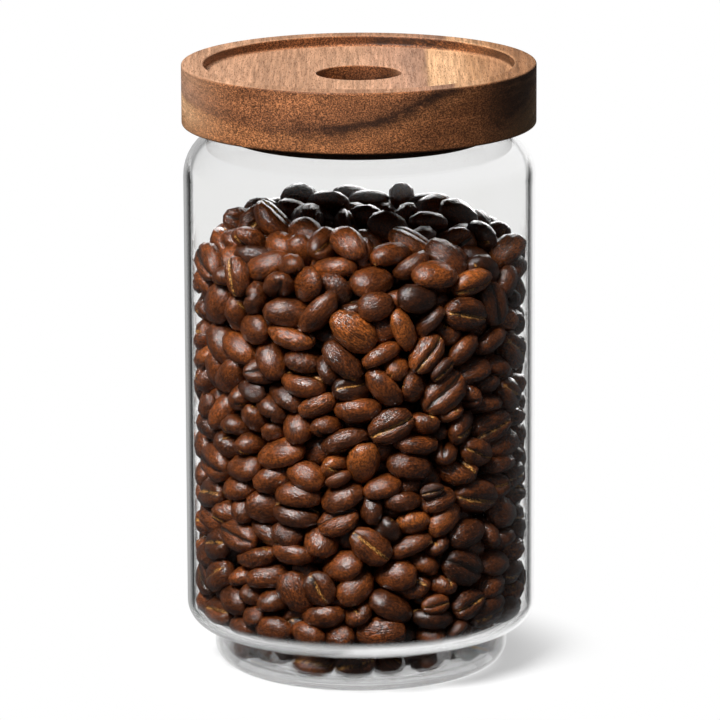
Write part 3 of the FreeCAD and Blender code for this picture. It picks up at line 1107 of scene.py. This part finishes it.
# %% [markdown]
# The solver leaves a bean a hair inside a plate now and then, and the glass has rounds that the
# plates lack. So each bean is moved up from the floor or the ledge and in from the wall until all
# its points are clear of the glass. Beans above a low dome are left out, which gives the heap the
# level that it has in the photograph.

# %% Keep them clear of the glass
GLASS_INSIDE = 4.775
FOOT_INSIDE = 3.975
LEDGE = 1.37
LEDGE_GRAZE = 0.01
CORNER_ROUND = 0.45
DOME_TOP = 13.35
DOME_DROP = 1.7


def clear_of_glass(rest, start):
    """A rest moved in from the wall and up from the floor, where the bean would touch the glass."""
    place, turn = rest
    kind, size = start[2:]
    points = np.empty(len(bean_meshes[kind].vertices) * 3, np.float32)
    bean_meshes[kind].vertices.foreach_get("co", points)
    points = points.reshape(-1, 3) * size
    points = points @ np.array(turn.to_matrix()).T + np.array(place)
    out = Vector((place.x, place.y, 0.0))
    base = LEDGE if out.length > FOOT_INSIDE else BED_FLOOR
    lift = max(0.0, base - float(points[:, 2].min()))
    heights = points[:, 2] + lift
    drop = np.clip(LEDGE + CORNER_ROUND - heights, 0.0, CORNER_ROUND)
    wall = GLASS_INSIDE - CORNER_ROUND + np.sqrt(CORNER_ROUND**2 - drop**2)
    limit = np.where(heights < LEDGE - LEDGE_GRAZE, FOOT_INSIDE, wall)
    over = max(0.0, float((np.hypot(points[:, 0], points[:, 1]) - limit).max()))
    out.normalize()
    return place - out * over + Vector((0.0, 0.0, lift)), turn


def below_dome(place):
    """Whether a bean lies below the top of the heap."""
    out = math.hypot(place.x, place.y)
    return place.z < DOME_TOP - DOME_DROP * (out / GLASS_INSIDE) ** 4


rests = [clear_of_glass(rest, start) for rest, start in zip(rests, starts)]
kept = [(rest, start) for rest, start in zip(rests, starts) if below_dome(rest[0])]
rests = [rest for rest, start in kept]
starts = [start for rest, start in kept]
heights = np.array([place.z for place, turn in rests])
print(len(rests), "beans rest from", heights.min().round(2), "to", heights.max().round(2), "cm")

# %% [markdown]
# ## Finish of the beans
# Roasted beans are brown with an oily shine. Each has its own roast, so the tone is a random value
# per bean. The skin is finely pitted and folded along the bean, on some much more than on others,
# which breaks the shine into specks; the pits and folds are also painted darker where they sink in
# and lighter where they rise, as painted shade. Some beans keep pale golden skin in the crease, and
# in the others the crease is painted nearly black as painted shade. All of this hangs on the bean's
# own place attribute, so every bean wears it the right way round. Deep in the heap the beans are
# painted darker, as painted shade where little light arrives.

# %% Roast
ROASTS = [
    (0.00, (0.040, 0.010, 0.002)),
    (0.30, (0.108, 0.027, 0.005)),
    (0.70, (0.190, 0.047, 0.008)),
    (1.00, (0.300, 0.080, 0.014)),
]
TONE_APART = 137.0
TONE_WILD = 23.0

roast, tree = new_finish("roasted_bean")
place = add(tree, "ShaderNodeAttribute", attribute_name="bean_place").outputs["Vector"]
tone = add(tree, "ShaderNodeAttribute", attribute_name="tone").outputs["Fac"]
chaff = add(tree, "ShaderNodeAttribute", attribute_name="chaff").outputs["Fac"]
own = product(tree, tone, TONE_APART)
apart = add(tree, "ShaderNodeCombineXYZ", {0: own, 1: own, 2: own}).outputs[0]
skin = add(tree, "ShaderNodeVectorMath", {0: place, 1: apart}, operation="ADD").outputs[0]
along = add(tree, "ShaderNodeMapping", {"Vector": skin, "Scale": (1.0, 2.4, 2.4)}).outputs[0]
patchy = noise(tree, skin, detail=3.0, scale=1.8)
pits = noise(tree, skin, detail=3.0, rough=0.65, scale=10.0)
wrinkle = noise(tree, along, detail=2.0, rough=0.6, scale=4.5)
wild = sum_of(tree, "FRACT", product(tree, tone, TONE_WILD))
wild = smooth_step(tree, wild, 0.35, 1.0)
colour = ramp(tree, tone, ROASTS)
colour = mottled(tree, colour, patchy, (0.3, 0.55), (0.7, 1.45))
# Painted shade: the pits and folds are darker where their bumps sink in and lighter where they
# rise.
colour = mottled(tree, colour, pits, (0.40, 0.42), (0.60, 1.58))
folded = sum_of(tree, "MULTIPLY_ADD", wild, 0.7, 0.3)
colour = mottled(tree, colour, wrinkle, (0.36, 0.40), (0.58, 1.20), share=folded)

# %% Crease, depth and shine
CHAFF_DARK = (0.09, 0.028, 0.006, 1.0)
CHAFF_GOLD = (0.78, 0.37, 0.085, 1.0)
SLIT_SHADE_COLOUR = (0.020, 0.007, 0.002, 1.0)
DEEP_SHADE_TINT = (0.25, 0.22, 0.20, 1.0)

parts = parts_of(tree, place)
belly = smooth_step(tree, parts["Z"], -0.08, -0.18)
ragged = sum_of(tree, "MULTIPLY_ADD", wrinkle, 0.16, -0.08)
line = sum_of(tree, "ABSOLUTE", sum_of(tree, "ADD", parts["Y"], ragged))
crease = product(tree, smooth_step(tree, line, 0.12, 0.05), belly)
flake = noise(tree, skin, detail=2.0, rough=0.7, scale=9.0)
gold = blend(tree, smooth_step(tree, flake, 0.38, 0.60), CHAFF_DARK, CHAFF_GOLD)
flaked = smooth_step(tree, chaff, 0.20, 0.32)
flaked = product(tree, flaked, smooth_step(tree, patchy, 0.36, 0.46))
# Painted shade: where no golden skin lies, the crease is painted nearly black.
colour = blend(tree, crease, colour, blend(tree, flaked, SLIT_SHADE_COLOUR, gold))
height = parts_of(tree, place_in_mm(tree))["Z"]
# Painted shade: beans away from the glass, the top of the heap and the foot are darkened.
lit = smooth_step(tree, length_of(tree, place_in_mm(tree, FLAT)), 36.0, 44.0)
lit = sum_of(tree, "MAXIMUM", lit, smooth_step(tree, height, 112.0, 122.0))
lit = sum_of(tree, "MAXIMUM", lit, smooth_step(tree, height, 24.0, 15.0))
colour = blend(tree, sum_of(tree, "SUBTRACT", 1.0, lit), colour, DEEP_SHADE_TINT, "MULTIPLY")
dull = sum_of(tree, "MULTIPLY_ADD", pits, 0.22, 0.22)
dull = sum_of(tree, "MAXIMUM", dull, product(tree, crease, 0.45))
bumps = product(tree, wrinkle, sum_of(tree, "MULTIPLY_ADD", wild, 1.3, 0.6))
bumps = sum_of(tree, "MULTIPLY_ADD", pits, 0.8, bumps)
relief = relief_of(tree, bumps, 0.5, 0.5)
principled(tree, {
    "Base Color": colour,
    "Roughness": dull,
    "Specular IOR Level": 0.6,
    "Coat Weight": 0.8,
    "Coat Roughness": 0.11,
    "Coat Normal": relief,
    "Normal": relief,
})
print("bean finish nodes", len(tree.nodes))

# %% [markdown]
# ## Filling the jar
# The resting places become points that carry the rotation, size, kind and roast of each bean. A
# Geometry Nodes tree puts the right shape on every point. Realize Instances then makes them real
# mesh, which the export needs, and the result is kept as one plain mesh.

# %% The filling as a tree of nodes
filling_inputs = (("Shapes", "Collection"), ("Swell", "Float"), ("Finish", "Material"))
filling, given = new_tree("fill_with_beans", "Rests", filling_inputs, "Beans")


def stored(name, kind):
    """The value of a named attribute of each point."""
    node = add(filling, "GeometryNodeInputNamedAttribute", {"Name": name}, data_type=kind)
    return next(socket for socket in node.outputs if socket.enabled)


choices = add(filling, "GeometryNodeCollectionInfo", {
    "Collection": given["Shapes"],
    "Separate Children": True,
    "Reset Children": True,
})
sizes = {0: stored("size", "FLOAT_VECTOR"), "Scale": given["Swell"]}
swollen = add(filling, "ShaderNodeVectorMath", sizes, operation="SCALE")
laid = add(filling, "GeometryNodeInstanceOnPoints", {
    "Points": given["Rests"],
    "Instance": choices.outputs[0],
    "Pick Instance": True,
    "Instance Index": stored("kind", "INT"),
    "Rotation": stored("turn", "QUATERNION"),
    "Scale": swollen.outputs[0],
})
end_tree(filling, laid.outputs[0], given["Finish"])
print("filling nodes", len(filling.nodes))

# %% Beans from points
CM = 0.01
BEAN_SWELL = 1.0
ROAST_MIDDLE = 0.45
ROAST_SPREAD = 0.22

points = bpy.data.meshes.new("rests")
points.from_pydata([tuple(place * CM) for place, turn in rests], [], [])


def keep(name, kind, field, values):
    """Stores one value per point."""
    data = points.attributes.new(name, kind, "POINT").data
    data.foreach_set(field, np.array(values, np.int32 if kind == "INT" else np.float32).ravel())


roasts = np.clip(draw.normal(ROAST_MIDDLE, ROAST_SPREAD, len(rests)), 0.0, 1.0)
keep("turn", "QUATERNION", "value", [tuple(turn) for place, turn in rests])
keep("size", "FLOAT_VECTOR", "vector", [size * CM for place, turn, kind, size in starts])
keep("kind", "INT", "value", [kind for place, turn, kind, size in starts])
keep("tone", "FLOAT", "value", roasts)
keep("chaff", "FLOAT", "value", draw.random(len(rests)))

shapes = bpy.data.collections.new("bean_shapes")
for mesh in bean_meshes:
    shapes.objects.link(bpy.data.objects.new(mesh.name, mesh))
worker = bpy.data.objects.new("beans", points)
scene.collection.objects.link(worker)
set_modifier(worker, filling, {"Shapes": shapes, "Swell": BEAN_SWELL, "Finish": roast})
beans = plain_mesh("beans", worker)
for thing in list(shapes.objects):
    bpy.data.objects.remove(thing)
bpy.data.collections.remove(shapes)
triangles = sum(len(face.vertices) - 2 for face in beans.data.polygons)
print("beans triangles", triangles, "attributes", [a.name for a in beans.data.attributes])

# %% [markdown]
# ## Hand the pieces to the frame
# Every piece rides on the body that carries it: the beans stay in the jar, and the seal goes with
# the lid. Each one stands for its CAD solid, which stays behind for collisions.

# %% Bodies and replaced nodes
for piece, body, node, slot in (
    (jar, "jar", "glass_jar", "glass"),
    (lid, "lid", "wood_lid", "wood"),
    (seal, "lid", "seal_ring", "silicone"),
    (beans, "jar", "coffee_beans", "beans"),
):
    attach(piece, body)
    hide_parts(node)
    print(piece.name, "rides on", body)

# %% [markdown]
# ## What each lamp leaves out
# In a studio, flags keep a lamp off the things that it would spoil. Light linking does the same
# with lists: no lamp glares in the jar, the back lamp leaves the floor and the lid alone, and the
# lid's own lamp leaves out the floor and the beans.

# %% Light linking
for holder, left_out in (
    (key, [jar]),
    (back, [jar, floor, lid, seal]),
    (lid_fill, [jar, floor, beans]),
):
    unlit = bpy.data.collections.new("not_lit_by_" + holder.name)
    for thing in left_out:
        unlit.objects.link(thing)
    for entry in unlit.collection_objects:
        entry.light_linking.link_state = "EXCLUDE"
    holder.light_linking.receiver_collection = unlit
    print(holder.name, "leaves out", [thing.name for thing in left_out])
